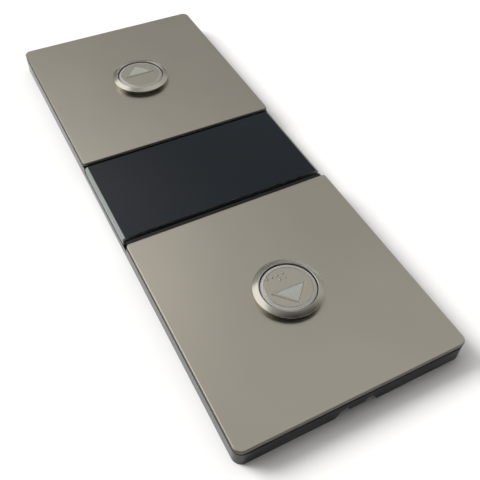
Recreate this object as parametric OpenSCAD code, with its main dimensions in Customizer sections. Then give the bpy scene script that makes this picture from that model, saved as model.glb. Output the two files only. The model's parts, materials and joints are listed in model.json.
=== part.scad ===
// Landing call panel for a lift: two round push buttons in satin steel faceplates, above and below a
// glossy black centre strip, on a shallow moulded casing that snaps over a wall plate.
// The panel lies on its back. X runs across it, Y up the wall and Z out of its face, and the origin
// is the centre of the back, on the wall. Sizes are millimetres.

/* [Panel] */
// Width across the wall
panel_w = 104; // [98:1:130]
// Height of each faceplate up the wall
faceplate_h = 108; // [100:1:130]
// Height of the opening between the two faceplates
strip_open = 58; // [52:1:90]

/* [Casing] */
// Thickness of the side and end walls
casing_wall = 2; // [1.8:0.1:2.6]
// Thickness of the front behind the faceplates
front_t = 1.8; // [1.4:0.1:2.6]
// Corner radius of the casing's outline
casing_corner_r = 4; // [3.5:0.5:8]
// Height of the shadow gap between the wall of the casing and a faceplate
shadow_gap = 1.1; // [0.4:0.1:1.3]
// Depth of the shadow gap
shadow_depth = 1.2; // [0.6:0.1:1.6]
// Thickness of the gusset ribs
rib_t = 1.2; // [0.8:0.1:2]
// Reach of the gusset ribs from the walls
rib_reach = 3; // [2:0.5:4]
// Distance of the outer gusset ribs from the middle of a faceplate
rib_spacing = 28; // [20:1:32]

/* [Release notch] */
// Width of the notch against the wall
notch_w = 19; // [16:0.5:24]
// Width of the notch's roof
notch_roof_w = 14; // [12:0.5:16]
// Height of the notch's roof above the wall
notch_h = 4.8; // [4:0.1:5.5]
// Corner radius of the notch's roof
notch_r = 1.2; // [0.5:0.1:1.5]
// Width of the pry tab that hangs from the roof
pry_tab_w = 8; // [5:0.5:9]
// Length of the pry tab
pry_tab_drop = 2.2; // [1.5:0.1:2.8]
// Depth of the cut-out for a tool in the wall plate behind the notch
tool_room = 4; // [3:0.5:8]

/* [Faceplates] */
// Thickness of a faceplate
faceplate_t = 1.5; // [1.3:0.1:2]
// Radius over the front edge of a faceplate
faceplate_edge_r = 0.6; // [0.2:0.1:0.8]
// Radius of a faceplate's two outer corners
faceplate_corner_r = 3.6; // [2:0.1:8]
// Radius of a faceplate's two corners beside the strip
faceplate_strip_r = 1.6; // [1:0.1:4]
// Radius of the weld studs behind a faceplate
stud_r = 1.5; // [1:0.1:2]
// Length of the weld studs
stud_len = 3.7; // [3.2:0.1:4.2]
// Distance of the weld studs from a faceplate's edges
stud_inset = 12; // [9:0.5:16]
// Radial width of the push nuts on the studs
push_nut_w = 1.9; // [1.2:0.1:2.5]
// Thickness of the push nuts
push_nut_t = 0.5; // [0.3:0.1:0.8]

/* [Centre strip] */
// Thickness of the strip
strip_t = 2; // [1.5:0.1:2.6]
// Depth of the strip's front below the faceplates
strip_drop = 1.3; // [0.8:0.1:1.8]
// Width of the groove above the strip
groove_above = 1.1; // [0.5:0.1:2]
// Width of the groove below the strip
groove_below = 2.1; // [1:0.1:4]
// Width of the casing's land between that groove and the lower faceplate
land_below = 2.9; // [1:0.1:5]
// Inset of the strip's sides from the casing
strip_inset = 0.25; // [0.1:0.05:0.4]
// Width of the bevels along the strip's sides
strip_bevel_w = 1.3; // [0.4:0.1:1.6]
// Height of the bevels along the strip's sides
strip_bevel_h = 0.9; // [0.4:0.1:1.2]
// Thickness of the skirts at the strip's sides
skirt_t = 0.8; // [0.7:0.05:1]
// Height of the skirts
skirt_h = 4.3; // [3.5:0.1:4.6]
// Radius of the strip's heat-staked pegs
peg_r = 1.2; // [0.8:0.1:1.6]
// Distance of the pegs from the strip's sides
peg_inset_x = 22; // [8:0.5:26]
// Distance of the pegs from the strip's ends
peg_inset_y = 9; // [5:0.5:14]

/* [Bezels] */
// Radius of the bezel's mouth, round the pressel
mouth_r = 12.45; // [12:0.05:14]
// Width of the stop inside the bezel
stop_lip = 0.85; // [0.7:0.05:1.2]
// Wall of the bezel's barrel
barrel_wall = 0.75; // [0.6:0.05:1.5]
// Width of the bezel's flange on the faceplate
flange_w = 1.3; // [0.8:0.05:3]
// Height of the bezel above the faceplate
bezel_h = 3.15; // [2.8:0.05:4]
// Height of the straight side of the bezel
bezel_side_h = 2.2; // [1.5:0.05:2.6]
// Width of the flat lip round the mouth
lip_w = 0.35; // [0.2:0.05:0.8]
// Radial width of the bezel's nut
nut_w = 3.2; // [2:0.1:5]
// Thickness of the bezel's nut
nut_t = 1.8; // [1.4:0.1:2.4]
// Width of the spanner notches in the nut
nut_notch_w = 4; // [3:0.5:6]
// Depth of the spanner notches in the nut
nut_notch_depth = 1.2; // [0.8:0.1:1.6]
// Thickness of the washer under the nut
washer_t = 0.3; // [0.2:0.1:0.8]

/* [Buttons] */
// Travel of a button
button_travel = 0.8; // [0.4:0.1:1]
// Depth of a pressel below the bezel's lip
pressel_recess = 0.35; // [0.1:0.05:0.6]
// Thickness of the pressel's steel disc
disc_t = 1.2; // [0.8:0.1:1.4]
// Radius over the edge of the steel disc
disc_edge_r = 0.25; // [0.1:0.05:0.4]
// Width of the light ring round the steel disc
light_ring_w = 1.5; // [1:0.05:1.7]
// Height that the light ring slopes over its width
light_ring_slope = 0.35; // [0.1:0.05:0.6]
// Thickness of the web that carries the disc
web_t = 1.8; // [1.2:0.1:2.2]
// Height of the moving core below the disc
core_h = 4.6; // [4.2:0.1:5]
// Thickness of the flange that meets the bezel's stop
core_flange_t = 1.3; // [1:0.1:1.6]
// Wall of the core's skirt
core_wall = 1.45; // [1:0.05:2]
// Radius of the post that presses the switch
post_r = 4.4; // [3:0.1:4.8]
// Width of the raised arrow across its base
arrow_w = 18; // [15:0.1:18.4]
// Length of the raised arrow from base to tip
arrow_h = 9.6; // [8:0.1:9.8]
// Distance of the arrow's base behind the middle of the button
arrow_back = 0; // [0:0.1:2]
// Radius of the arrow's corners
arrow_corner_r = 0.4; // [0.3:0.1:0.8]
// Height that the arrow stands above the disc
arrow_rise = 0.4; // [0.3:0.1:1]
// Width of the arrow's sloping sides
arrow_slope_w = 0.3; // [0.2:0.1:0.8]
// Width of the flat rim between the sloping sides and the lens
arrow_rim_w = 0.5; // [0.1:0.05:0.8]

/* [Switches and springs] */
// Side of a switch's square case
switch_w = 6.2; // [5:0.1:6.6]
// Height of a switch's square case
switch_case_h = 1.1; // [0.8:0.1:1.2]
// Height of a switch to the top of its collar
switch_h = 1.6; // [1.4:0.1:1.8]
// Radius of a switch's collar
collar_r = 2.8; // [2.6:0.1:3]
// Radius of a switch's plunger
plunger_r = 1.6; // [1.2:0.1:1.9]
// Radius of a return spring to the middle of its wire
spring_r = 5.6; // [5.3:0.1:6]
// Radius of a spring's wire
wire_r = 0.25; // [0.15:0.05:0.3]
// Turns in a return spring
spring_turns = 4; // [3:1:6]

/* [Circuit board] */
// Thickness of the circuit board
board_t = 1.6; // [1:0.1:2]
// Width of the board behind each button
board_w = 68; // [60:1:72]
// Height of the board behind each button
board_pad_h = 66; // [60:1:72]
// Width of the bridge between the two halves of the board
bridge_w = 24; // [22:1:28]
// Height of the screw heads behind the board
screw_head_h = 1.2; // [0.8:0.1:1.8]
// Radius of the screw heads
screw_head_r = 2.6; // [2:0.1:3]
// Radius of the screw shanks
screw_shank_r = 1.2; // [1:0.1:1.5]
// Radius of the bosses that the board is screwed to
boss_r = 3.2; // [2.6:0.1:4]
// Distance of the bosses from the board's edges
boss_inset = 5; // [4.2:0.1:7]
// Gap between the board and the bezels' nuts
nut_gap = 0.6; // [0.4:0.1:1.2]
// Gap between the board and the floor under the strip
strip_floor_gap = 0.9; // [0.7:0.1:1.2]
// Gap between the screw heads and the wall plate
head_gap = 0.6; // [0.3:0.1:1]
// Side of the controller chip
chip_w = 10; // [7:0.5:12]
// Height of the controller chip
chip_h = 1.2; // [0.8:0.1:1.8]
// Radius on which the lamps stand round a switch
lamp_circle_r = 8.4; // [8.2:0.1:9]
// Length, width and height of a lamp
lamp_size = [2, 1.6, 0.9]; // [0.6:0.1:3]
// Lamps behind each button
lamp_count = 4; // [2:1:8]

/* [Cable entry] */
// Width of the cable opening in the wall plate
cable_open_w = 54; // [45:1:56]
// Height of the cable opening in the wall plate
cable_open_h = 44; // [40:1:50]
// Corner radius of the cable opening
cable_open_r = 2; // [1:0.5:6]
// Distance of the cable opening's right edge past the cable headers
cable_open_past = 3.5; // [1:0.5:6]
// Width of a cable header along the board's edge
header_w = 12; // [10:0.5:15]
// Depth of a cable header from the board's edge
header_d = 6; // [5:0.5:7]
// Height of a cable header
header_h = 2.4; // [2:0.1:2.6]
// Wall of a cable header round its mouth
header_wall = 0.5; // [0.3:0.1:0.7]
// Distance between the middles of the two cable headers
header_spacing = 18; // [16:0.5:22]
// Pins in a cable header
header_pins = 5; // [3:1:6]
// Width of a header's square pins
pin_w = 0.6; // [0.4:0.1:0.8]

/* [Wall plate] */
// Thickness of the wall plate
wall_plate_t = 1.2; // [1:0.1:1.6]
// Gap between the wall plate and the casing's walls
wall_plate_gap = 0.3; // [0.2:0.05:0.5]
// Distance between the wall screws across the panel
wall_screw_dx = 82; // [80:1:84]
// Distance between the wall screws up the panel
wall_screw_dy = 166; // [120:1:220]
// Radius of the wall-screw holes
wall_screw_r = 2.25; // [1.8:0.05:2.8]
// Width of a snap tab
snap_tab_w = 14; // [12:0.5:18]
// Height of a snap tab above the wall
snap_tab_h = 6; // [5.2:0.1:6.4]
// Distance of the snap tabs from the panel's middle
snap_tab_x = 30; // [24:0.5:34]
// Inner radius of the bend below a snap tab
snap_bend_r = 0.6; // [0.4:0.1:1]
// Width of the bend reliefs beside a snap tab
bend_relief = 1; // [0.6:0.1:2]
// Width of the window in a snap tab
snap_window_w = 8; // [6:0.5:9]
// Height of the window in a snap tab
snap_window_h = 2; // [1.6:0.1:2.4]
// Height of the bar below the window in a snap tab
snap_bar_h = 0.8; // [0.4:0.1:1]
// Reach of the casing's nib into the window
snap_nib_reach = 0.7; // [0.4:0.1:1]

/* [Fits] */
// Clearance round studs, pegs, barrels and skirts
fit_gap = 0.15; // [0.1:0.05:0.3]
// Clearance round the moving pieces
run_gap = 0.45; // [0.2:0.05:0.5]
// Clearance above and below the moving pieces at the ends of their travel
end_gap = 0.4; // [0.2:0.05:0.5]
// Clearance of a flange from the stop that it rests against
stop_gap = 0.1; // [0.05:0.05:0.2]
// Radial clearance of the lens in its window and of the disc in its ring
seat_gap = 0.05; // [0.03:0.01:0.1]

/* [Hidden] */
$fn = 64;
cut = 1;

casing_black = "#202123";
satin_steel = "#a8a49a";
gloss_black = "#14161a";
zinc = "#b9bcc0";
board_green = "#1f5a3c";
part_black = "#2a2a2c";
light_resin = "#c9c9d2";
lens_resin = "#d9dcd6";
spring_steel = "#8d9096";
lamp_white = "#efe9c8";
pin_tin = "#cfd0cc";
nut_brass = "#b79b55";

// Outline, up the wall
panel_h = 2 * faceplate_h + strip_open;
button_y = (strip_open + faceplate_h) / 2;
barrel_r = mouth_r + stop_lip + barrel_wall;
bezel_r = barrel_r + flange_w;

// Heights above the wall
board_z = wall_plate_t + head_gap + screw_head_h;
board_top = board_z + board_t;
front_under = board_top + nut_gap + nut_t + washer_t;
front_z = front_under + front_t;
faceplate_top = front_z + faceplate_t;
casing_wall_h = front_z - shadow_gap;
strip_top = faceplate_top - strip_drop;
strip_seat = strip_top - strip_t;
strip_floor_under = board_top + strip_floor_gap;
skirt_z = strip_top - skirt_h;
bezel_top = faceplate_top + bezel_h;
barrel_z = board_top + end_gap;
disc_top = bezel_top - pressel_recess;
disc_z = disc_top - disc_t;
web_z = disc_z - web_t;
core_z = disc_z - core_h;
stop_z = core_z + core_flange_t + stop_gap;
switch_top = board_top + switch_h;
post_z = switch_top + button_travel + end_gap;
plunger_z = board_top + button_travel + end_gap / 2;

// Radii and places inside the buttons
core_r = mouth_r - run_gap;
core_flange_r = mouth_r + stop_lip - run_gap;
disc_r = core_r - light_ring_w;
arrow_side = norm([arrow_w / 2, arrow_h]);
arrow_inner_r = arrow_w * arrow_h / (arrow_w + 2 * arrow_side);
lens_inset = arrow_slope_w + arrow_rim_w;

// Inside of the casing and the wall plate
inner_w = panel_w - 2 * casing_wall;
inner_h = panel_h - 2 * casing_wall;
inner_corner_r = max(casing_corner_r - casing_wall, 0.5);
plate_w = inner_w - 2 * wall_plate_gap;
plate_h = inner_h - 2 * wall_plate_gap;
snap_bend_outer = snap_bend_r + wall_plate_t;
snap_window_z = snap_bend_outer + snap_bar_h;
strip_w = panel_w - 2 * strip_inset;
pocket_h = strip_open - land_below;
pocket_y = land_below - strip_open / 2;
strip_h = pocket_h - groove_above - groove_below;
strip_y = pocket_y + groove_below + strip_h / 2;
rebate = strip_inset + skirt_t + fit_gap;
bridge_x = board_w / 2 - bridge_w;
header_x = bridge_x + header_wall;
cable_open_right = header_x + header_d + cable_open_past;
boss_dx = board_w / 2 - boss_inset;
boss_dy = board_pad_h / 2 - boss_inset;
boss_grip = front_under - board_top - fit_gap;

// Points of a convex outline, listed anticlockwise, with every corner rounded to radius r
function unit(v) = v / norm(v);
function corner_arc(before, corner, after, r, steps) =
    let (
        a = unit(before - corner),
        b = unit(after - corner),
        half = acos(a * b) / 2,
        middle = corner + unit(a + b) * r / sin(half),
        start = corner + a * r / tan(half) - middle,
        first = atan2(start.y, start.x),
        sweep = 180 - 2 * half
    )
    [for (k = [0 : steps]) middle + r * [cos(first + sweep * k / steps), sin(first + sweep * k / steps)]];
function rounded_points(points, r, steps = 6) =
    let (n = len(points))
    [for (i = [0 : n - 1], p = corner_arc(points[(i + n - 1) % n], points[i], points[(i + 1) % n], r, steps)) p];

module rounded_rectangle(w, h, r) {
    square([w - 2 * r, h], center = true);
    square([w, h - 2 * r], center = true);
    for (x = [-1, 1], y = [-1, 1])
        translate([x * (w / 2 - r), y * (h / 2 - r)])
            circle(r);
}

module ring(outer_r, inner_r, h) {
    linear_extrude(h)
        difference() {
            circle(outer_r);
            circle(inner_r);
        }
}

// Puts its children at all four places that lie dx and dy from the middle
module at_corners(dx, dy) {
    for (x = [-dx, dx], y = [-dy, dy])
        translate([x, y, 0])
            children();
}

// Puts its children at the upper button, or half a turn round the panel's middle at the lower one
module at_button(up) {
    rotate(up ? 0 : 180)
        translate([0, button_y, 0])
            children();
}

module at_both_buttons() {
    for (up = [true, false])
        at_button(up)
            children();
}

// Section of a flat edge whose front is rounded to radius r
module edge_section(r, t) {
    square([r, t - r]);
    translate([0, t - r])
        intersection() {
            circle(r);
            square(r);
        }
}

// Slab with its front edge rounded all round, and a radius for each corner from +X+Y anticlockwise
module rounded_slab(w, h, t, corners, edge_r) {
    linear_extrude(t)
        difference() {
            square([w - 2 * edge_r, h - 2 * edge_r], center = true);
            for (i = [0 : 3])
                rotate(90 * i)
                    translate([(i % 2 == 0 ? w : h) / 2, (i % 2 == 0 ? h : w) / 2])
                        square(2 * corners[i], center = true);
        }
    for (i = [0 : 3])
        rotate(90 * i) {
            side_x = (i % 2 == 0 ? w : h) / 2;
            side_y = (i % 2 == 0 ? h : w) / 2;
            translate([side_x - corners[i], side_y - corners[i], 0])
                rotate_extrude(angle = 90) {
                    square([corners[i] - edge_r, t]);
                    translate([corners[i] - edge_r, 0])
                        edge_section(edge_r, t);
                }
            translate([side_x - edge_r, side_y - corners[i], 0])
                rotate([90, 0, 0])
                    linear_extrude(2 * side_y - corners[i] - corners[(i + 3) % 4])
                        edge_section(edge_r, t);
        }
}

// Casing
module casing_outside() {
    linear_extrude(casing_wall_h)
        rounded_rectangle(panel_w, panel_h, casing_corner_r);
    linear_extrude(front_z)
        rounded_rectangle(
            panel_w - 2 * shadow_depth, panel_h - 2 * shadow_depth, casing_corner_r - shadow_depth);
}

module casing_inside() {
    difference() {
        translate([0, 0, -cut])
            linear_extrude(front_under + cut)
                rounded_rectangle(inner_w, inner_h, inner_corner_r);
        translate([-panel_w / 2, -strip_open / 2 - front_t, strip_floor_under])
            cube([panel_w, strip_open + 2 * front_t, front_z]);
    }
}

module strip_pocket() {
    translate([-panel_w / 2 - cut, pocket_y, strip_seat])
        cube([panel_w + 2 * cut, pocket_h, front_z]);
    for (side = [0, 1])
        mirror([side, 0, 0])
            translate([panel_w / 2 - rebate, -strip_open / 2, skirt_z - fit_gap])
                cube([rebate + cut, strip_open, front_z]);
}

module release_notch() {
    slope = (notch_w - notch_roof_w) / 2 / notch_h;
    below = 2 * notch_r + cut;
    foot = notch_w / 2 + slope * below;
    notch = [[-foot, -below], [foot, -below], [notch_roof_w / 2, notch_h], [-notch_roof_w / 2, notch_h]];
    tab_r = pry_tab_drop / 2;
    tab = [
        [-pry_tab_w / 2, notch_h - pry_tab_drop], [pry_tab_w / 2, notch_h - pry_tab_drop],
        [pry_tab_w / 2, notch_h + pry_tab_drop], [-pry_tab_w / 2, notch_h + pry_tab_drop]
    ];
    translate([0, -panel_h / 2 + casing_wall + cut / 2, 0])
        rotate([90, 0, 0])
            linear_extrude(casing_wall + cut)
                difference() {
                    polygon(rounded_points(notch, notch_r));
                    polygon(rounded_points(tab, tab_r));
                }
}

// Ramped nib on an end wall that catches in the window of a snap tab
module snap_nib() {
    reach = wall_plate_gap + snap_nib_reach;
    low = snap_window_z + 2 * fit_gap;
    high = snap_window_z + snap_window_h - 2 * fit_gap;
    width = snap_window_w - 4 * fit_gap;
    translate([snap_tab_x - width / 2, inner_h / 2, 0])
        rotate([90, 0, 90])
            linear_extrude(width)
                polygon([[cut / 2, low], [0, low], [-reach, high - (high - low) / 3], [-reach, high], [cut / 2, high]]);
}

module gusset_ribs() {
    rib_z = wall_plate_t + fit_gap;
    rib_h = front_under - rib_z + front_t / 2;
    at_both_buttons()
        for (side = [-1, 1], y = [-rib_spacing, 0, rib_spacing])
            translate([side * (inner_w - rib_reach + casing_wall) / 2, y, rib_z + rib_h / 2])
                cube([rib_reach + casing_wall, rib_t, rib_h], center = true);
}

module casing() {
    color(casing_black)
        difference() {
            union() {
                difference() {
                    casing_outside();
                    casing_inside();
                }
                gusset_ribs();
                for (x = [0, 1], y = [0, 1])
                    mirror([x, 0, 0])
                        mirror([0, y, 0])
                            snap_nib();
                at_both_buttons()
                    at_corners(boss_dx, boss_dy)
                        translate([0, 0, board_top])
                            cylinder(r = boss_r, h = front_under - board_top + front_t / 2);
            }
            strip_pocket();
            release_notch();
            at_both_buttons() {
                translate([0, 0, board_top])
                    cylinder(r = barrel_r + fit_gap, h = front_z);
                at_corners(boss_dx, boss_dy)
                    translate([0, 0, board_top - cut])
                        cylinder(r = screw_shank_r + seat_gap, h = boss_grip + cut);
                at_corners(panel_w / 2 - stud_inset, faceplate_h / 2 - stud_inset)
                    translate([0, 0, board_top])
                        cylinder(r = stud_r + fit_gap, h = front_z);
            }
            at_pegs()
                translate([0, 0, board_top])
                    cylinder(r = peg_r + fit_gap, h = front_z);
        }
}

// Faceplates
module faceplate() {
    corners = [faceplate_corner_r, faceplate_corner_r, faceplate_strip_r, faceplate_strip_r];
    color(satin_steel)
        translate([0, 0, front_z]) {
            difference() {
                rounded_slab(panel_w, faceplate_h, faceplate_t, corners, faceplate_edge_r);
                translate([0, 0, -cut])
                    cylinder(r = barrel_r + fit_gap, h = faceplate_t + 2 * cut);
            }
            at_corners(panel_w / 2 - stud_inset, faceplate_h / 2 - stud_inset)
                translate([0, 0, -stud_len])
                    cylinder(r = stud_r, h = stud_len + faceplate_t / 2);
        }
}

module upper_faceplate() {
    at_button(true)
        faceplate();
}

module lower_faceplate() {
    at_button(false)
        faceplate();
}

module faceplate_push_nuts() {
    color(spring_steel)
        at_both_buttons()
            at_corners(panel_w / 2 - stud_inset, faceplate_h / 2 - stud_inset)
                translate([0, 0, front_under - push_nut_t])
                    ring(stud_r + seat_gap + push_nut_w, stud_r + seat_gap, push_nut_t);
}

// Centre strip
module at_pegs() {
    translate([0, strip_y, 0])
        at_corners(strip_w / 2 - peg_inset_x, strip_h / 2 - peg_inset_y)
            children();
}

module strip_section() {
    side = strip_w / 2;
    bevel_z = strip_top - strip_bevel_h;
    difference() {
        polygon([
            [-side, skirt_z], [side, skirt_z], [side, bevel_z], [side - strip_bevel_w, strip_top],
            [strip_bevel_w - side, strip_top], [-side, bevel_z]
        ]);
        translate([skirt_t - side, skirt_z - cut])
            square([strip_w - 2 * skirt_t, skirt_h - strip_t + cut]);
    }
}

module centre_strip() {
    peg_z = strip_floor_under - 2 * fit_gap;
    color(gloss_black) {
        translate([0, strip_y + strip_h / 2, 0])
            rotate([90, 0, 0])
                linear_extrude(strip_h)
                    strip_section();
        at_pegs()
            translate([0, 0, peg_z])
                cylinder(r = peg_r, h = strip_top - strip_t / 2 - peg_z);
    }
}

// Wall plate
module snap_tab() {
    leg = snap_tab_h - snap_bend_outer;
    translate([snap_tab_x - snap_tab_w / 2, plate_h / 2 - snap_bend_outer, 0])
        rotate([90, 0, 90])
            difference() {
                linear_extrude(snap_tab_w) {
                    translate([0, snap_bend_outer])
                        intersection() {
                            difference() {
                                circle(snap_bend_outer);
                                circle(snap_bend_r);
                            }
                            translate([0, -snap_bend_outer])
                                square(snap_bend_outer);
                        }
                    translate([snap_bend_r, snap_bend_outer])
                        square([wall_plate_t, leg]);
                }
                translate([0, snap_window_z, (snap_tab_w - snap_window_w) / 2])
                    cube([2 * snap_bend_outer, snap_window_h, snap_window_w]);
            }
}

module wall_plate_outline() {
    difference() {
        rounded_rectangle(plate_w, plate_h, max(inner_corner_r - wall_plate_gap, 0.5));
        for (x = [-1, 1], y = [-1, 1])
            translate([x * snap_tab_x, y * plate_h / 2])
                square([snap_tab_w + 2 * bend_relief, 2 * snap_bend_outer], center = true);
        translate([cable_open_right - cable_open_w / 2, 0])
            rounded_rectangle(cable_open_w, cable_open_h, cable_open_r);
        translate([0, -plate_h / 2])
            square([notch_w, 2 * tool_room], center = true);
        at_corners(wall_screw_dx / 2, wall_screw_dy / 2)
            circle(wall_screw_r);
    }
}

module wall_plate() {
    color(zinc) {
        linear_extrude(wall_plate_t)
            wall_plate_outline();
        for (x = [0, 1], y = [0, 1])
            mirror([x, 0, 0])
                mirror([0, y, 0])
                    snap_tab();
    }
}

// Circuit board and what stands on it
module circuit_board() {
    color(board_green)
        translate([0, 0, board_z])
            linear_extrude(board_t)
                difference() {
                    union() {
                        at_both_buttons()
                            square([board_w, board_pad_h], center = true);
                        translate([bridge_x, -button_y])
                            square([bridge_w, 2 * button_y]);
                    }
                    at_both_buttons()
                        at_corners(boss_dx, boss_dy)
                            circle(screw_shank_r + fit_gap);
                }
}

module board_screws() {
    color(zinc)
        at_both_buttons()
            at_corners(boss_dx, boss_dy)
                translate([0, 0, board_z - screw_head_h]) {
                    cylinder(r = screw_head_r, h = screw_head_h);
                    cylinder(r = screw_shank_r, h = screw_head_h + board_t + boss_grip - fit_gap);
                }
}

// Low flat package with its legs along all four sides
module controller_chip() {
    legs = 8;
    leg_w = 0.4;
    leg_reach = 1;
    leg_t = 0.3;
    pitch = chip_w / (legs + 1);
    chip_y = button_y - board_pad_h / 2 + chip_w / 2 + 2 * leg_reach;
    color(part_black)
        translate([bridge_x + chip_w / 2 + 2 * leg_reach, chip_y, board_top]) {
            translate([-chip_w / 2, -chip_w / 2, leg_t / 2])
                cube([chip_w, chip_w, chip_h - leg_t / 2]);
            for (turn = [0 : 90 : 270], k = [1 : legs])
                rotate(turn)
                    translate([chip_w / 2 - leg_w, -chip_w / 2 + k * pitch - leg_w / 2, 0])
                        cube([leg_reach + leg_w, leg_w, leg_t]);
        }
}

// Capacitors and chokes beside the chip, and the supply parts on the lower half of the board
module board_components() {
    can_r = 2.2;
    can_h = 2;
    choke = [4.6, 4.6, 1.7];
    small = [2, 1.25, 0.6];
    row = 5;
    can_gap = 1.4;
    base_y = -board_pad_h / 2 + boss_inset + boss_r + can_r;
    color(part_black)
        at_both_buttons()
            translate([-board_w / 2 + boss_inset + boss_r, base_y, board_top]) {
                for (k = [0, 1])
                    translate([k * (2 * can_r + can_gap) + can_r, -can_r, 0])
                        cylinder(r = can_r, h = can_h);
                translate([2 * (2 * can_r + can_gap) + choke.x / 2, -can_r, choke.z / 2])
                    cube(choke, center = true);
                for (k = [0 : row - 1])
                    translate([k * (small.x + can_gap) + small.x, -2 * can_r - 2 * small.y, small.z / 2])
                        cube(small, center = true);
            }
}

// The two cable headers stand under the bridge, with their mouths towards the cable opening
module at_headers() {
    for (side = [-1, 1])
        translate([header_x, side * header_spacing / 2, board_z - header_h])
            children();
}

module cable_headers() {
    color(lens_resin)
        at_headers()
            difference() {
                translate([0, -header_w / 2, 0])
                    cube([header_d, header_w, header_h]);
                translate([-cut, -header_w / 2 + header_wall, header_wall])
                    cube([header_d - 2 * header_wall + cut, header_w - 2 * header_wall, header_h - 2 * header_wall]);
            }
}

module header_pins() {
    pitch = (header_w - 2 * header_wall) / header_pins;
    color(pin_tin)
        at_headers()
            for (k = [0 : header_pins - 1])
                translate([header_wall, (k - (header_pins - 1) / 2) * pitch - pin_w / 2, (header_h - pin_w) / 2])
                    cube([header_d - 3 * header_wall, pin_w, pin_w]);
}

// Bezel and its fixing
module bezel() {
    color(satin_steel)
        rotate_extrude()
            polygon([
                [mouth_r, stop_z], [mouth_r, bezel_top], [mouth_r + lip_w, bezel_top],
                [bezel_r, faceplate_top + bezel_side_h], [bezel_r, faceplate_top],
                [barrel_r, faceplate_top], [barrel_r, barrel_z],
                [mouth_r + stop_lip, barrel_z], [mouth_r + stop_lip, stop_z]
            ]);
}

module bezel_washer() {
    color(zinc)
        translate([0, 0, front_under - washer_t])
            ring(barrel_r + fit_gap + nut_w, barrel_r + fit_gap, washer_t);
}

module bezel_nut() {
    outer_r = barrel_r + seat_gap + nut_w;
    color(nut_brass)
        translate([0, 0, front_under - washer_t - nut_t])
            linear_extrude(nut_t)
                difference() {
                    circle(outer_r);
                    circle(barrel_r + seat_gap);
                    for (turn = [45 : 90 : 315])
                        rotate(turn)
                            translate([outer_r, 0])
                                square([2 * nut_notch_depth, nut_notch_w], center = true);
                }
}

// Switch, lamps and spring on the board behind a button
module push_switch() {
    color(part_black)
        translate([0, 0, board_top])
            difference() {
                union() {
                    translate([-switch_w / 2, -switch_w / 2, 0])
                        cube([switch_w, switch_w, switch_case_h]);
                    cylinder(r = collar_r, h = switch_h);
                }
                translate([0, 0, end_gap / 4])
                    cylinder(r = plunger_r + run_gap, h = switch_h + cut);
            }
}

module lamps() {
    color(lamp_white)
        for (k = [0 : lamp_count - 1])
            rotate(45 + k * 360 / lamp_count)
                translate([lamp_circle_r - lamp_size.x / 2, -lamp_size.y / 2, board_top])
                    cube(lamp_size);
}

// Helical compression spring between the board and the web of the core
module return_spring() {
    sides = 6;
    steps = 20;
    rings = spring_turns * steps;
    low = board_top + wire_r;
    rise = web_z - board_top - 2 * wire_r;
    points = [
        for (i = [0 : rings], k = [0 : sides - 1])
            let (turn = 360 * i / steps, r = spring_r + wire_r * cos(360 * k / sides))
            [r * cos(turn), r * sin(turn), low + rise * i / rings + wire_r * sin(360 * k / sides)]
    ];
    skin = [
        for (i = [0 : rings - 1], k = [0 : sides - 1])
            let (a = i * sides + k, b = i * sides + (k + 1) % sides)
            [a, b, b + sides, a + sides]
    ];
    ends = [
        [for (k = [sides - 1 : -1 : 0]) k],
        [for (k = [0 : sides - 1]) rings * sides + k]
    ];
    color(spring_steel)
        polyhedron(points = points, faces = concat(skin, ends), convexity = 6);
}

// Moving pieces of a button
module light_core() {
    color(light_resin)
        rotate_extrude()
            polygon([
                [0, post_z], [post_r, post_z], [post_r, web_z],
                [core_r - core_wall, web_z], [core_r - core_wall, core_z],
                [core_flange_r, core_z], [core_flange_r, core_z + core_flange_t],
                [core_r, core_z + core_flange_t], [core_r, disc_top - light_ring_slope],
                [disc_r + seat_gap, disc_top], [disc_r + seat_gap, disc_z], [0, disc_z]
            ]);
}

// Arrow that points away from the panel's middle, drawn smaller all round by inset
module arrow_outline(inset) {
    tip = arrow_h - inset * arrow_side / (arrow_w / 2);
    foot = (tip - inset) * arrow_w / 2 / arrow_h;
    corners = [[-foot, inset - arrow_back], [foot, inset - arrow_back], [0, tip - arrow_back]];
    polygon(rounded_points(corners, arrow_corner_r));
}

// Raised arrow from the bottom of the disc up, with three sides that slope in above the disc
module arrow_relief() {
    lean = atan2(arrow_w / 2, arrow_h);
    top_r = arrow_inner_r - arrow_slope_w;
    section = [
        [-arrow_w, 0], [arrow_inner_r, 0], [arrow_inner_r, disc_t],
        [top_r, disc_t + arrow_rise], [-arrow_w, disc_t + arrow_rise]
    ];
    intersection() {
        linear_extrude(disc_t + arrow_rise)
            arrow_outline(0);
        intersection_for (side = [lean, 180 - lean, 270])
            translate([0, arrow_inner_r - arrow_back, 0])
                rotate([90, 0, side])
                    linear_extrude(2 * arrow_w, center = true)
                        polygon(section);
    }
}

module pressel_disc() {
    color(satin_steel)
        translate([0, 0, disc_z])
            difference() {
                union() {
                    rotate_extrude() {
                        square([disc_r - disc_edge_r, disc_t]);
                        translate([disc_r - disc_edge_r, 0])
                            edge_section(disc_edge_r, disc_t);
                    }
                    arrow_relief();
                }
                translate([0, 0, -cut])
                    linear_extrude(disc_t + arrow_rise + 2 * cut)
                        arrow_outline(lens_inset);
            }
}

module arrow_lens() {
    color(lens_resin)
        translate([0, 0, disc_z])
            linear_extrude(disc_t + arrow_rise - seat_gap)
                arrow_outline(lens_inset + 2 * seat_gap);
}

module plunger() {
    color(lens_resin)
        translate([0, 0, plunger_z])
            cylinder(r = plunger_r, h = post_z - plunger_z);
}

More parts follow.
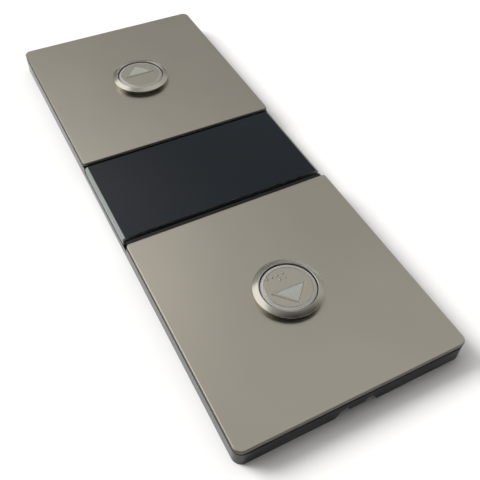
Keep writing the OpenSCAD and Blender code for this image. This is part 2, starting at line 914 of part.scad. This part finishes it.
module up_bezel() { at_button(true) bezel(); }
module up_bezel_washer() { at_button(true) bezel_washer(); }
module up_bezel_nut() { at_button(true) bezel_nut(); }
module up_switch() { at_button(true) push_switch(); }
module up_lamps() { at_button(true) lamps(); }
module up_return_spring() { at_button(true) return_spring(); }
module up_light_core() { at_button(true) light_core(); }
module up_pressel_disc() { at_button(true) pressel_disc(); }
module up_arrow_lens() { at_button(true) arrow_lens(); }
module up_plunger() { at_button(true) plunger(); }

module down_bezel() { at_button(false) bezel(); }
module down_bezel_washer() { at_button(false) bezel_washer(); }
module down_bezel_nut() { at_button(false) bezel_nut(); }
module down_switch() { at_button(false) push_switch(); }
module down_lamps() { at_button(false) lamps(); }
module down_return_spring() { at_button(false) return_spring(); }
module down_light_core() { at_button(false) light_core(); }
module down_pressel_disc() { at_button(false) pressel_disc(); }
module down_arrow_lens() { at_button(false) arrow_lens(); }
module down_plunger() { at_button(false) plunger(); }

casing();
upper_faceplate();
lower_faceplate();
faceplate_push_nuts();
centre_strip();
wall_plate();
circuit_board();
board_screws();
controller_chip();
board_components();
cable_headers();
header_pins();
up_bezel();
up_bezel_washer();
up_bezel_nut();
up_switch();
up_lamps();
up_return_spring();
up_light_core();
up_pressel_disc();
up_arrow_lens();
up_plunger();
down_bezel();
down_bezel_washer();
down_bezel_nut();
down_switch();
down_lamps();
down_return_spring();
down_light_core();
down_pressel_disc();
down_arrow_lens();
down_plunger();
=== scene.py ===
"""Looks of a lift landing call panel: two round push buttons in satin steel faceplates, a glossy black
centre strip and a black moulded casing, lying on its back. X runs across the panel, Y up the wall and
Z out of its face. Blender works in metres; sizes that end in _MM are millimetres."""

import json
import math

import bmesh
import bpy
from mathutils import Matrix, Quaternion, Vector


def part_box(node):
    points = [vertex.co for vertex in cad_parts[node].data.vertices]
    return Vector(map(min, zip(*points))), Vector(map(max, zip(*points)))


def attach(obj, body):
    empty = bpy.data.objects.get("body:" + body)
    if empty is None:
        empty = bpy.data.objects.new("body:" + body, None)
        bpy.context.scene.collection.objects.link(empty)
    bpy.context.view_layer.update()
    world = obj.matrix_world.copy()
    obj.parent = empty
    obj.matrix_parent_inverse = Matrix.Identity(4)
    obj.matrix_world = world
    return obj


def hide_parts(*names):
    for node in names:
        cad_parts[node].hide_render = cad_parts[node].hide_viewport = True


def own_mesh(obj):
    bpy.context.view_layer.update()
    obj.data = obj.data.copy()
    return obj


MM = 0.001
BUTTONS = ("up", "down")

# Camera, found from the panel's edges in the photograph
CAMERA_PLACE_MM = (-97.85, -217.60, 232.54)
CAMERA_AIM_MM = (-5.17, -48.98, 10.6)
CAMERA_ROLL_DEG = 1.914
CAMERA_FOCAL_PX = 655.96
CAMERA_NEAR, CAMERA_FAR = 0.01, 20
PHOTO_PX = 480
SENSOR_MM = 36.0

# Bezel: a turned ring with a cone on top and a threaded barrel below
BEZEL_MOUTH_R_MM = 12.45
BEZEL_BORE_R_MM = 13.3
BEZEL_BARREL_R_MM = 14.05
BEZEL_LIP_W_MM = 0.35
BEZEL_SIDE_H_MM = 2.2
BEZEL_STOP_ABOVE_FOOT_MM = 4.0
BEZEL_THREAD_PITCH_MM = 1.0
BEZEL_THREAD_DEPTH_MM = 0.14
BEZEL_THREAD_RUNOUT_MM = 0.3
BEZEL_THREAD_STEPS = 8
BEZEL_SEGMENTS = 160
# Rounding of the bezel's edges
MOUTH_ROUND_MM = 0.28
LIP_ROUND_MM = 0.25
SIDE_ROUND_MM = 0.22
FOOT_ROUND_MM = 0.15
RIM_ROUND_MM = 0.10
STOP_ROUND_MM = 0.08
INNER_ROUND_MM = 0.05
# Points this close together lie on the same cylinder
NEAR_MM = 0.001

# Tactile dots above the arrow of the lower button
DOT_R_MM = 0.7
DOT_H_MM = 0.38
DOT_PITCH_MM = 2.5
DOT_RINGS, DOT_SEGMENTS = 6, 20
# Each row: place above the button's middle, place of the first dot, dots in the row
DOT_ROWS_MM = ((7.4, -6.2, 4), (4.9, -1.2, 2))

# Return spring, with closed turns at its ends, whose pitch is given in wire radii
SPRING_WIRE_R_MM = 0.25
SPRING_TURNS = 4
SPRING_END_TURNS = 0.8
SPRING_END_PITCH = 2.2
SPRING_STEPS, SPRING_SIDES = 40, 10

# Smooth shading stops at edges sharper than this
SHARP_DEG = 35.0
WIRE_SHARP_DEG = 60.0

# Floor, which curves up far round the panel and lies just below it
FLOOR_R = 4.2
FLOOR_SWEEP_R = 1.8
FLOOR_DROP = 0.00005
FLOOR_RINGS, FLOOR_SWEEP_RINGS, FLOOR_SEGMENTS = 8, 12, 96
FLOOR_COLOUR = (0.95, 0.95, 0.95)

# Soft lights of the studio: direction, angle of the full part and of the edge, and strength
SOFT_LIGHTS = (
    ((0.43, 0.09, 0.85), 5, 37, 0.1),
    ((0.85, 0.20, 0.50), 10, 34, 0.14),
    ((0.33, 0.12, 0.93), 8, 22, 0.25),
    ((-0.67, 0.62, 0.40), 8, 22, 1.5),
)
# Window behind the panel: for each side the way across it, where it starts and where it is full
WINDOW_SIDES = (
    ((1, 0, 0), 0.43, -0.06),
    ((-0.25, 0, 1), 0.57, 0.66),
    ((0.15, 0, 1), 0.92, 0.83),
    ((0, 1, 0), 0.0, 0.3),
)
WINDOW_LIGHT = 1.25
# Plain light, from the front to the back of the panel, and its share from the horizon up
WORLD_FRONT, WORLD_BACK = 0.04, 0.62
WORLD_RAMP = (-0.30, 0.18)
WORLD_LOW_SHARE = 0.3
WORLD_LOW_RAMP = (0.1, 0.6)
WORLD_TINT = (1.0, 0.985, 0.955)
# Lamp for the floor: where it stands, how wide it is and its strength
LAMP_AIM = (-0.55, 0.62, 0.56)
LAMP_WIDTH_DEG = 30
LAMP_LIGHT = 2.85

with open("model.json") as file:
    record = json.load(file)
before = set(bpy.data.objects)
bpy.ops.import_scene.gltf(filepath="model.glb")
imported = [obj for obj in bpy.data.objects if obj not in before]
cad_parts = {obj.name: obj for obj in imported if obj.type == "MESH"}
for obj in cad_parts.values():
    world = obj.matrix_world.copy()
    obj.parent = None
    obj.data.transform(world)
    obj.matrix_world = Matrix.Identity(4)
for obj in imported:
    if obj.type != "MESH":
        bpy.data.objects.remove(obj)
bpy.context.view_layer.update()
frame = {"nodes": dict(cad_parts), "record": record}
nodes = frame["nodes"]


def tone(colour, factor):
    return tuple(min(1.0, c * factor) for c in colour)


def rgba(colour):
    """A colour with full cover, for a colour socket. A socket stays as it is."""
    return colour if isinstance(colour, bpy.types.NodeSocket) else (*colour, 1.0)


class Graph:
    """A node tree with short calls for the nodes that the materials use."""

    def __init__(self, tree):
        self.tree = tree
        tree.nodes.clear()

    def add(self, kind, inputs=None, **settings):
        """A new node. An input that is a socket is linked, and any other is set as a value."""
        node = self.tree.nodes.new(kind)
        for key, value in settings.items():
            setattr(node, key, value)
        for key, value in (inputs or {}).items():
            if isinstance(value, bpy.types.NodeSocket):
                self.tree.links.new(value, node.inputs[key])
            else:
                node.inputs[key].default_value = value
        return node

    def place(self, scale=(1, 1, 1), source="Object"):
        """Place on the object, in metres for Object, stretched by scale."""
        coords = self.add("ShaderNodeTexCoord").outputs[source]
        return self.add("ShaderNodeMapping", {"Vector": coords, "Scale": scale}).outputs["Vector"]

    def noise(self, vector, scale, detail=2.0, roughness=0.5):
        values = {"Vector": vector, "Scale": scale, "Detail": detail, "Roughness": roughness}
        return self.add("ShaderNodeTexNoise", values).outputs["Fac"]

    def spread(self, value, low, high, start=0.0, end=1.0, kind="LINEAR"):
        """A value from start..end carried over to low..high."""
        values = {"Value": value, "From Min": start, "From Max": end, "To Min": low, "To Max": high}
        return self.add("ShaderNodeMapRange", values, interpolation_type=kind).outputs["Result"]

    def ease(self, value, start, end, low=0.0, high=1.0):
        """A value that goes smoothly from low at start to high at end."""
        return self.spread(value, low, high, start, end, kind="SMOOTHSTEP")

    def blend(self, share, first, second):
        """A colour between two colours."""
        # The mix node's colours are its inputs 6 and 7 and its output 2
        values = {0: share, 6: rgba(first), 7: rgba(second)}
        return self.add("ShaderNodeMix", values, data_type="RGBA").outputs[2]

    def mottle(self, share, colour, darkest, lightest):
        """A colour that wavers between two tones of itself."""
        return self.blend(share, tone(colour, darkest), tone(colour, lightest))

    def math(self, operation, first, second=0.0):
        return self.add("ShaderNodeMath", {0: first, 1: second}, operation=operation).outputs[0]

    def vector_math(self, operation, *vectors):
        return self.add("ShaderNodeVectorMath", dict(enumerate(vectors)), operation=operation).outputs

    def dot(self, first, second):
        return self.vector_math("DOT_PRODUCT", first, tuple(second))["Value"]

    def upright(self):
        """1 on faces that look up or down, and 0 on upright walls."""
        normal = self.add("ShaderNodeNewGeometry").outputs["Normal"]
        return self.math("ABSOLUTE", self.add("ShaderNodeSeparateXYZ", {0: normal}).outputs["Z"])

    def bump(self, height, depth_mm, strength, normal=None):
        """Bump whose full height is depth_mm."""
        values = {"Height": height, "Distance": depth_mm * MM, "Strength": strength}
        if normal is not None:
            values["Normal"] = normal
        return self.add("ShaderNodeBump", values).outputs["Normal"]

    def soft_edge(self, radius_mm):
        """Normal that rounds the sharp edges of the solid."""
        return self.add("ShaderNodeBevel", {"Radius": radius_mm * MM}, samples=4).outputs["Normal"]

    def surface(self, **inputs):
        """Principled surface. Names use _ for a space."""
        values = {key.replace("_", " "): value for key, value in inputs.items()}
        shader = self.add("ShaderNodeBsdfPrincipled", values)
        self.add("ShaderNodeOutputMaterial", {"Surface": shader.outputs["BSDF"]})


def new_material(name):
    material = bpy.data.materials.new(name)
    material.use_nodes = True
    return material, Graph(material.node_tree)


def satin_steel(name, colour, roughness, grain_across, painted_edge_shading_tone):
    """Satin stainless sheet with a hairline grain along Y, a faint uneven sheen and rough cut edges, whose
    colour a tone changes as painted light: painted shade below 1, painted highlight above 1.
    """
    material, g = new_material(name)
    grain = g.noise(g.place((grain_across, 1, grain_across)), scale=260.0, detail=3.0, roughness=0.6)
    cloud = g.noise(g.place(), scale=28.0)
    uneven = g.math("ADD", g.math("MULTIPLY", grain, 0.4), g.math("MULTIPLY", cloud, 0.6))
    satin = g.spread(uneven, low=roughness - 0.03, high=roughness + 0.03)
    flat = g.ease(g.upright(), start=0.5, end=0.85)
    g.surface(
        # Upright walls take a tone of the colour: painted shade where the tone is below 1, painted light
        # where it is above 1.
        Base_Color=g.blend(flat, tone(colour, painted_edge_shading_tone), g.mottle(cloud, colour, 0.94, 1.06)),
        Metallic=1.0,
        Roughness=g.spread(flat, low=0.6, high=satin),
        Normal=g.bump(grain, depth_mm=0.0006, strength=0.1, normal=g.soft_edge(0.12)),
    )
    return material


def turned_steel(name, colour, roughness):
    """Bright turned stainless with fine rings round the button's axis."""
    material, g = new_material(name)
    from_middle = g.vector_math("SUBTRACT", g.place(source="Generated"), (0.5, 0.5, 0.5))["Vector"]
    from_axis = g.vector_math("MULTIPLY", from_middle, (1, 1, 0))["Vector"]
    radius = g.vector_math("LENGTH", from_axis)["Value"]
    along_radius = g.add("ShaderNodeCombineXYZ", {"X": radius}).outputs["Vector"]
    rings = g.noise(along_radius, scale=420.0, detail=4.0, roughness=0.7)
    cloud = g.noise(g.place(), scale=160.0)
    g.surface(
        Base_Color=g.mottle(rings, colour, 0.9, 1.08),
        Metallic=1.0,
        Roughness=g.spread(cloud, low=roughness - 0.05, high=roughness + 0.06),
        Normal=g.bump(rings, depth_mm=0.002, strength=0.35),
    )
    return material


def moulded_plastic(name, colour, roughness, texture_mm, depth_mm, gloss=0.5):
    """Moulded plastic with a fine eroded texture and softly rounded edges."""
    material, g = new_material(name)
    texture = g.noise(g.place(), scale=1 / (texture_mm * MM), roughness=0.6)
    cloud = g.noise(g.place(), scale=40.0)
    g.surface(
        Base_Color=g.mottle(cloud, colour, 0.85, 1.2),
        Roughness=g.spread(texture, low=roughness - 0.08, high=roughness + 0.08),
        Specular_IOR_Level=gloss,
        Normal=g.bump(texture, depth_mm, strength=0.6, normal=g.soft_edge(0.25)),
    )
    return material


def gloss_plastic(name, colour, roughness, painted_reflection_colour):
    """Polished black acrylic with faint wipe marks in its gloss and pale edges, whose pale colour is a
    painted reflection.
    """
    material, g = new_material(name)
    wipes = g.noise(g.place((1, 6, 1)), scale=60.0, detail=4.0, roughness=0.65)
    dust = g.noise(g.place(), scale=2600.0, detail=1.0)
    dusty = g.spread(dust, low=0.0, high=1.0, start=0.6, end=0.9)
    polish = g.spread(wipes, low=roughness - 0.03, high=roughness + 0.05)
    # Pale colour on the bevels and upright walls: a painted reflection.
    painted_edge_reflection = g.mottle(wipes, painted_reflection_colour, 0.85, 1.15)
    flat = g.ease(g.upright(), start=0.85, end=0.98)
    g.surface(
        Base_Color=g.blend(flat, painted_edge_reflection, g.mottle(dusty, colour, 1.0, 2.5)),
        Roughness=g.spread(flat, low=0.5, high=polish),
        Specular_IOR_Level=0.23,
        Normal=g.soft_edge(0.12),
    )
    return material


def translucent_resin(name, colour, roughness, depth_mm):
    """Frosted polycarbonate that lets light sink in."""
    material, g = new_material(name)
    frost = g.noise(g.place(), scale=3800.0)
    cloud = g.noise(g.place(), scale=220.0)
    g.surface(
        Base_Color=g.mottle(cloud, colour, 0.92, 1.06),
        Roughness=g.spread(frost, low=roughness - 0.06, high=roughness + 0.08),
        Subsurface_Weight=0.5,
        Subsurface_Radius=(1.0, 1.0, 1.0),
        Subsurface_Scale=depth_mm * MM,
        Coat_Weight=0.3,
        Coat_Roughness=0.15,
        Normal=g.bump(frost, depth_mm=0.004, strength=0.5, normal=g.soft_edge(0.1)),
    )
    return material


def zinc_plate(name, colour):
    """Zinc-plated sheet with a pale spangle and a few dull patches."""
    material, g = new_material(name)
    flakes = g.add("ShaderNodeTexVoronoi", {"Vector": g.place(), "Scale": 420.0}).outputs["Color"]
    spangle = g.add("ShaderNodeSeparateColor", {"Color": flakes}).outputs["Red"]
    cloud = g.noise(g.place(), scale=45.0, detail=4.0, roughness=0.6)
    g.surface(
        Base_Color=g.mottle(cloud, colour, 0.8, 1.1),
        Metallic=1.0,
        Roughness=g.spread(g.math("ADD", spangle, cloud), low=0.28, high=0.52, start=0.3, end=1.6),
        Normal=g.bump(spangle, depth_mm=0.004, strength=0.3, normal=g.soft_edge(0.1)),
    )
    return material


def plain_metal(name, colour, roughness, grain):
    """Small plated or drawn metal pieces, with fine draw marks."""
    material, g = new_material(name)
    marks = g.noise(g.place((1, 1, 4)), scale=grain, detail=3.0, roughness=0.6)
    g.surface(
        Base_Color=g.mottle(marks, colour, 0.82, 1.1),
        Metallic=1.0,
        Roughness=g.spread(marks, low=roughness - 0.06, high=roughness + 0.1),
        Normal=g.bump(marks, depth_mm=0.003, strength=0.4),
    )
    return material


def circuit_laminate(name, mask, copper, laminate):
    """Solder mask with tracks showing through on the two faces, and bare laminate at the cut edges."""
    material, g = new_material(name)
    tracks = g.add(
        "ShaderNodeTexBrick",
        {"Vector": g.place(), "Scale": 90.0, "Mortar Size": 0.035, "Brick Width": 0.9, "Row Height": 0.22},
    ).outputs["Fac"]
    weave = g.noise(g.place(), scale=1500.0)
    face = g.blend(g.math("MULTIPLY", tracks, 0.6), mask, copper)
    edge = g.mottle(weave, laminate, 0.8, 1.0)
    g.surface(
        Base_Color=g.blend(g.math("GREATER_THAN", g.upright(), 0.5), edge, face),
        Roughness=g.spread(weave, low=0.28, high=0.42),
        Normal=g.bump(tracks, depth_mm=0.03, strength=0.5),
    )
    return material


STEEL = (0.36, 0.338, 0.295)
# For each material slot of the record, what makes it and with which settings
FINISHES = {
    "casing_plastic": (moulded_plastic, dict(
        colour=(0.005, 0.005, 0.006), roughness=0.16, texture_mm=0.25, depth_mm=0.006, gloss=0.2)),
    # Faceplate: tone 0.4 is painted shade on the upright cut edges.
    "faceplate_steel": (satin_steel, dict(colour=STEEL, roughness=0.305, grain_across=40, painted_edge_shading_tone=0.4)),
    # Strip: the pale edge colour is a painted reflection on its bevels and skirts.
    "strip_gloss": (gloss_plastic, dict(
        colour=(0.002, 0.005, 0.009), roughness=0.12, painted_reflection_colour=(0.225, 0.245, 0.235))),
    "bezel_steel": (turned_steel, dict(colour=(0.415, 0.40, 0.352), roughness=0.17)),
    # Pressel: tone 1.8 is painted light, lightening its slopes and upright sides, the arrow relief's and
    # the dots' too.
    "pressel_steel": (satin_steel, dict(
        colour=tone(STEEL, 1.1), roughness=0.305, grain_across=60, painted_edge_shading_tone=1.8)),
    "light_resin": (translucent_resin, dict(colour=(0.335, 0.32, 0.315), roughness=0.2, depth_mm=0.8)),
    "lens_resin": (translucent_resin, dict(colour=(0.315, 0.324, 0.30), roughness=0.25, depth_mm=0.8)),
    "zinc_sheet": (zinc_plate, dict(colour=(0.56, 0.58, 0.60))),
    "board_laminate": (circuit_laminate, dict(
        mask=(0.012, 0.10, 0.045), copper=(0.05, 0.22, 0.09), laminate=(0.42, 0.38, 0.20))),
    "black_part": (moulded_plastic, dict(
        colour=(0.02, 0.02, 0.021), roughness=0.45, texture_mm=0.12, depth_mm=0.006)),
    "ivory_nylon": (moulded_plastic, dict(
        colour=(0.68, 0.64, 0.54), roughness=0.4, texture_mm=0.3, depth_mm=0.005)),
    "tinned_pin": (plain_metal, dict(colour=(0.62, 0.62, 0.60), roughness=0.25, grain=2500.0)),
    "nut_brass": (plain_metal, dict(colour=(0.58, 0.43, 0.19), roughness=0.3, grain=1200.0)),
    "spring_wire": (plain_metal, dict(colour=(0.46, 0.47, 0.49), roughness=0.26, grain=3000.0)),
    "lamp_resin": (translucent_resin, dict(colour=(0.80, 0.72, 0.36), roughness=0.25, depth_mm=0.4)),
}
MATERIALS = {slot: make(slot, **settings) for slot, (make, settings) in FINISHES.items()}


def dress_nodes():
    """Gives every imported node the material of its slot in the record."""
    for part in frame["record"]["subparts"]:
        for slot in nodes[part["node"]].material_slots:
            slot.material = MATERIALS[part["material_slot"]]


def add_piece(name, builder, slot, body, replaced=None, sharp_deg=SHARP_DEG):
    """Turns a bmesh into a piece that rides on a body and takes a slot's material."""
    mesh = bpy.data.meshes.new(name)
    bmesh.ops.recalc_face_normals(builder, faces=builder.faces)
    builder.to_mesh(mesh)
    builder.free()
    mesh.shade_smooth()
    mesh.set_sharp_from_angle(angle=math.radians(sharp_deg))
    mesh.materials.append(MATERIALS[slot])
    piece = bpy.data.objects.new(name, mesh)
    bpy.context.scene.collection.objects.link(piece)
    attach(piece, body)
    if replaced:
        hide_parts(replaced)
    return piece


def middle_of(low, high):
    """Middle of a box, seen from the front, at height 0."""
    return Vector(((low.x + high.x) / 2, (low.y + high.y) / 2, 0))


def turned_rings(builder, profile, centre, segments, radius_change=None):
    """Rings of vertices made by turning the (radius, height) points of a profile about Z, in metres."""
    rings = []
    for radius, height in profile:
        ring = []
        for s in range(segments):
            angle = 2 * math.pi * s / segments
            r = radius + (radius_change(radius, height, angle) if radius_change else 0)
            offset = Vector((r * math.cos(angle), r * math.sin(angle), height))
            ring.append(builder.verts.new(centre + offset))
        rings.append(ring)
    return rings


def bridge(builder, here, there):
    """Faces between two rings of vertices."""
    for k in range(len(here)):
        after = (k + 1) % len(here)
        builder.faces.new((here[k], there[k], there[after], here[after]))


def turned_cap(builder, profile, centre, segments):
    """Surface from a tip on the axis, at the profile's first height, out to the last ring it returns."""
    tip = builder.verts.new(centre + Vector((0, 0, profile[0][1])))
    rings = turned_rings(builder, profile[1:], centre, segments)
    for s in range(segments):
        builder.faces.new((tip, rings[0][s], rings[0][(s + 1) % segments]))
    for here, there in zip(rings, rings[1:]):
        bridge(builder, here, there)
    return rings[-1]


def round_corners(corners, steps=5):
    """Points of a closed outline whose corners, given as (x, y, radius), are rounded."""
    points = []
    for i, (x, y, radius) in enumerate(corners):
        corner = Vector((x, y))
        before = (Vector(corners[i - 1][:2]) - corner).normalized()
        after = (Vector(corners[(i + 1) % len(corners)][:2]) - corner).normalized()
        half = before.angle(after) / 2
        middle = corner + (before + after).normalized() * radius / math.sin(half)
        start = corner + before * radius / math.tan(half) - middle
        end = corner + after * radius / math.tan(half) - middle
        turn = start.angle_signed(end)
        for k in range(steps + 1):
            angle = -turn * k / steps
            spun = Vector((
                start.x * math.cos(angle) - start.y * math.sin(angle),
                start.x * math.sin(angle) + start.y * math.cos(angle),
            ))
            points.append(middle + spun)
    return points


def between(low, high, step):
    """Values strictly between low and high, no more than step apart."""
    count = max(1, math.ceil(abs(high - low) / step))
    return [low + (high - low) * k / count for k in range(1, count)]


def make_bezel(button):
    """Bezel ring with rounded edges and a helical thread on its barrel."""
    low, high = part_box(f"{button}_bezel")
    plate = "upper_faceplate" if button == "up" else "lower_faceplate"
    plate_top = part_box(plate)[1].z / MM
    foot, top = low.z / MM, high.z / MM
    outer_r = (high.x - low.x) / 2 / MM
    stop = foot + BEZEL_STOP_ABOVE_FOOT_MM
    outline = round_corners([
        (BEZEL_MOUTH_R_MM, stop, STOP_ROUND_MM),
        (BEZEL_MOUTH_R_MM, top, MOUTH_ROUND_MM),
        (BEZEL_MOUTH_R_MM + BEZEL_LIP_W_MM, top, LIP_ROUND_MM),
        (outer_r, plate_top + BEZEL_SIDE_H_MM, SIDE_ROUND_MM),
        (outer_r, plate_top, RIM_ROUND_MM),
        (BEZEL_BARREL_R_MM, plate_top, INNER_ROUND_MM),
        (BEZEL_BARREL_R_MM, foot, FOOT_ROUND_MM),
        (BEZEL_BORE_R_MM, foot, FOOT_ROUND_MM),
        (BEZEL_BORE_R_MM, stop, INNER_ROUND_MM),
    ])
    profile = []
    for radius, height in outline:
        if profile and abs(profile[-1][0] - radius) < NEAR_MM:
            last_r, last_height = profile[-1]
            step = BEZEL_THREAD_PITCH_MM / BEZEL_THREAD_STEPS
            profile += [(last_r, h) for h in between(last_height, height, step)]
        profile.append((radius, height))

    def thread(radius, height, angle):
        """Change of radius along the thread, in metres."""
        thread_low, thread_high = foot + BEZEL_THREAD_RUNOUT_MM, stop - BEZEL_THREAD_RUNOUT_MM
        on_barrel = abs(radius / MM - BEZEL_BARREL_R_MM) < NEAR_MM
        if not on_barrel or not thread_low < height / MM < thread_high:
            return 0.0
        turn = height / MM / BEZEL_THREAD_PITCH_MM - angle / (2 * math.pi)
        return -BEZEL_THREAD_DEPTH_MM * MM * abs(2 * (turn % 1.0) - 1)

    builder = bmesh.new()
    profile = [(radius * MM, height * MM) for radius, height in profile]
    rings = turned_rings(builder, profile, middle_of(low, high), BEZEL_SEGMENTS, thread)
    for k, ring in enumerate(rings):
        bridge(builder, rings[k - 1], ring)
    add_piece(f"{button}_bezel_ring", builder, "bezel_steel", "panel", f"{button}_bezel")


def make_dots():
    """Rows of raised tactile dots on the steel disc of the lower button."""
    disc_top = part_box("down_light_core")[1].z
    centre = middle_of(*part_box("down_pressel_disc")) + Vector((0, 0, disc_top))
    quarter = [math.pi / 2 * k / DOT_RINGS for k in range(DOT_RINGS + 1)]
    profile = [(DOT_R_MM * math.sin(angle) * MM, DOT_H_MM * math.cos(angle) * MM) for angle in quarter]
    builder = bmesh.new()
    for row_y, first_x, count in DOT_ROWS_MM:
        for column in range(count):
            dot = centre + Vector((first_x + column * DOT_PITCH_MM, row_y, 0)) * MM
            foot = turned_cap(builder, profile, dot, DOT_SEGMENTS)
            builder.faces.new(reversed(foot))
    add_piece("tactile_dots", builder, "pressel_steel", "down_button")


def make_spring(button):
    """Return spring of round wire with closed end turns."""
    node = f"{button}_return_spring"
    low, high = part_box(node)
    centre = middle_of(low, high)
    wire = SPRING_WIRE_R_MM * MM
    radius = (high.x - low.x) / 2 - wire
    end_rise = SPRING_END_PITCH * wire
    open_rise = high.z - low.z - 2 * wire - 2 * SPRING_END_TURNS * end_rise
    turns = SPRING_TURNS + 2 * SPRING_END_TURNS
    builder = bmesh.new()
    rings = []
    for i in range(round(turns * SPRING_STEPS) + 1):
        turn = i / SPRING_STEPS
        risen = min(max((turn - SPRING_END_TURNS) / SPRING_TURNS, 0.0), 1.0)
        end_turns = turn - risen * SPRING_TURNS
        height = low.z + wire + end_rise * end_turns + open_rise * risen
        out = Vector((math.cos(2 * math.pi * turn), math.sin(2 * math.pi * turn), 0))
        ring = []
        for k in range(SPRING_SIDES):
            around = 2 * math.pi * k / SPRING_SIDES
            across = out * (radius + wire * math.cos(around))
            up = Vector((0, 0, height + wire * math.sin(around)))
            ring.append(builder.verts.new(centre + across + up))
        rings.append(ring)
    for here, there in zip(rings, rings[1:]):
        bridge(builder, here, there)
    builder.faces.new(rings[0])
    builder.faces.new(rings[-1])
    piece = add_piece(f"{button}_spring_wire", builder, "spring_wire", "panel", node, WIRE_SHARP_DEG)
    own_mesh(piece)


def make_floor():
    """Pale floor that curves up far round the panel. It is clear when seen from below."""
    profile = [(FLOOR_R * k / FLOOR_RINGS, -FLOOR_DROP) for k in range(FLOOR_RINGS + 1)]
    for k in range(1, FLOOR_SWEEP_RINGS + 1):
        angle = math.pi / 2 * k / FLOOR_SWEEP_RINGS
        rise = FLOOR_SWEEP_R * (1 - math.cos(angle))
        profile.append((FLOOR_R + FLOOR_SWEEP_R * math.sin(angle), rise - FLOOR_DROP))
    builder = bmesh.new()
    turned_cap(builder, profile, Vector((0, 0, 0)), FLOOR_SEGMENTS)
    mesh = bpy.data.meshes.new("studio_floor")
    builder.to_mesh(mesh)
    builder.free()
    mesh.shade_smooth()
    material, g = new_material("studio_floor")
    diffuse = g.add("ShaderNodeBsdfDiffuse", {"Color": rgba(FLOOR_COLOUR)}).outputs[0]
    clear = g.add("ShaderNodeBsdfTransparent").outputs[0]
    below = g.add("ShaderNodeNewGeometry").outputs["Backfacing"]
    mixed = g.add("ShaderNodeMixShader", {0: below, 1: diffuse, 2: clear}).outputs[0]
    g.add("ShaderNodeOutputMaterial", {"Surface": mixed})
    mesh.materials.append(material)
    floor = bpy.data.objects.new("studio_floor", mesh)
    bpy.context.scene.collection.objects.link(floor)


def make_world():
    """Soft studio light: a window at the back left, plain light at the back and dim light in front."""
    world = bpy.data.worlds.new("studio")
    world.use_nodes = True
    bpy.context.scene.world = world
    g = Graph(world.node_tree)
    direction = g.add("ShaderNodeTexCoord").outputs["Generated"]
    light = g.ease(g.dot(direction, (0, 1, 0)), *WORLD_RAMP, WORLD_FRONT, WORLD_BACK)
    share = g.ease(g.dot(direction, (0, 0, 1)), *WORLD_LOW_RAMP, WORLD_LOW_SHARE, 1.0)
    light = g.math("MULTIPLY", light, share)
    for aim, full_deg, edge_deg, strength in SOFT_LIGHTS:
        facing = g.dot(direction, Vector(aim).normalized())
        edge, full = math.cos(math.radians(edge_deg)), math.cos(math.radians(full_deg))
        light = g.math("ADD", light, g.ease(facing, edge, full, 0.0, strength))
    window = WINDOW_LIGHT
    for across, start, full in WINDOW_SIDES:
        window = g.math("MULTIPLY", g.ease(g.dot(direction, across), start, full), window)
    light = g.math("ADD", light, window)
    background = g.add("ShaderNodeBackground", {"Color": rgba(WORLD_TINT), "Strength": light})
    g.add("ShaderNodeOutputWorld", {"Surface": background.outputs[0]})


def make_lamp():
    """Wide lamp, behind the panel and to its left, that lights the floor and isn't mirrored in metal."""
    data = bpy.data.lights.new("floor_lamp", "SUN")
    data.energy = LAMP_LIGHT
    data.angle = math.radians(LAMP_WIDTH_DEG)
    lamp = bpy.data.objects.new("floor_lamp", data)
    bpy.context.scene.collection.objects.link(lamp)
    lamp.rotation_mode = "QUATERNION"
    lamp.rotation_quaternion = Vector(LAMP_AIM).to_track_quat("Z", "Y")
    lamp.visible_glossy = False


def make_camera():
    """Camera at the photograph's place, with the photograph's square frame."""
    data = bpy.data.cameras.new("camera")
    data.sensor_width = SENSOR_MM
    data.lens = CAMERA_FOCAL_PX / PHOTO_PX * SENSOR_MM
    data.clip_start = CAMERA_NEAR
    data.clip_end = CAMERA_FAR
    camera = bpy.data.objects.new("camera", data)
    bpy.context.scene.collection.objects.link(camera)
    place = Vector(CAMERA_PLACE_MM) * MM
    sight = Vector(CAMERA_AIM_MM) * MM - place
    camera.location = place
    camera.rotation_mode = "QUATERNION"
    roll = Quaternion((0, 0, 1), math.radians(CAMERA_ROLL_DEG))
    camera.rotation_quaternion = sight.to_track_quat("-Z", "Y") @ roll
    bpy.context.scene.camera = camera


dress_nodes()
for button in BUTTONS:
    make_bezel(button)
    make_spring(button)
make_dots()
make_floor()
make_world()
make_lamp()
make_camera()
bpy.context.scene.view_settings.view_transform = "Standard"
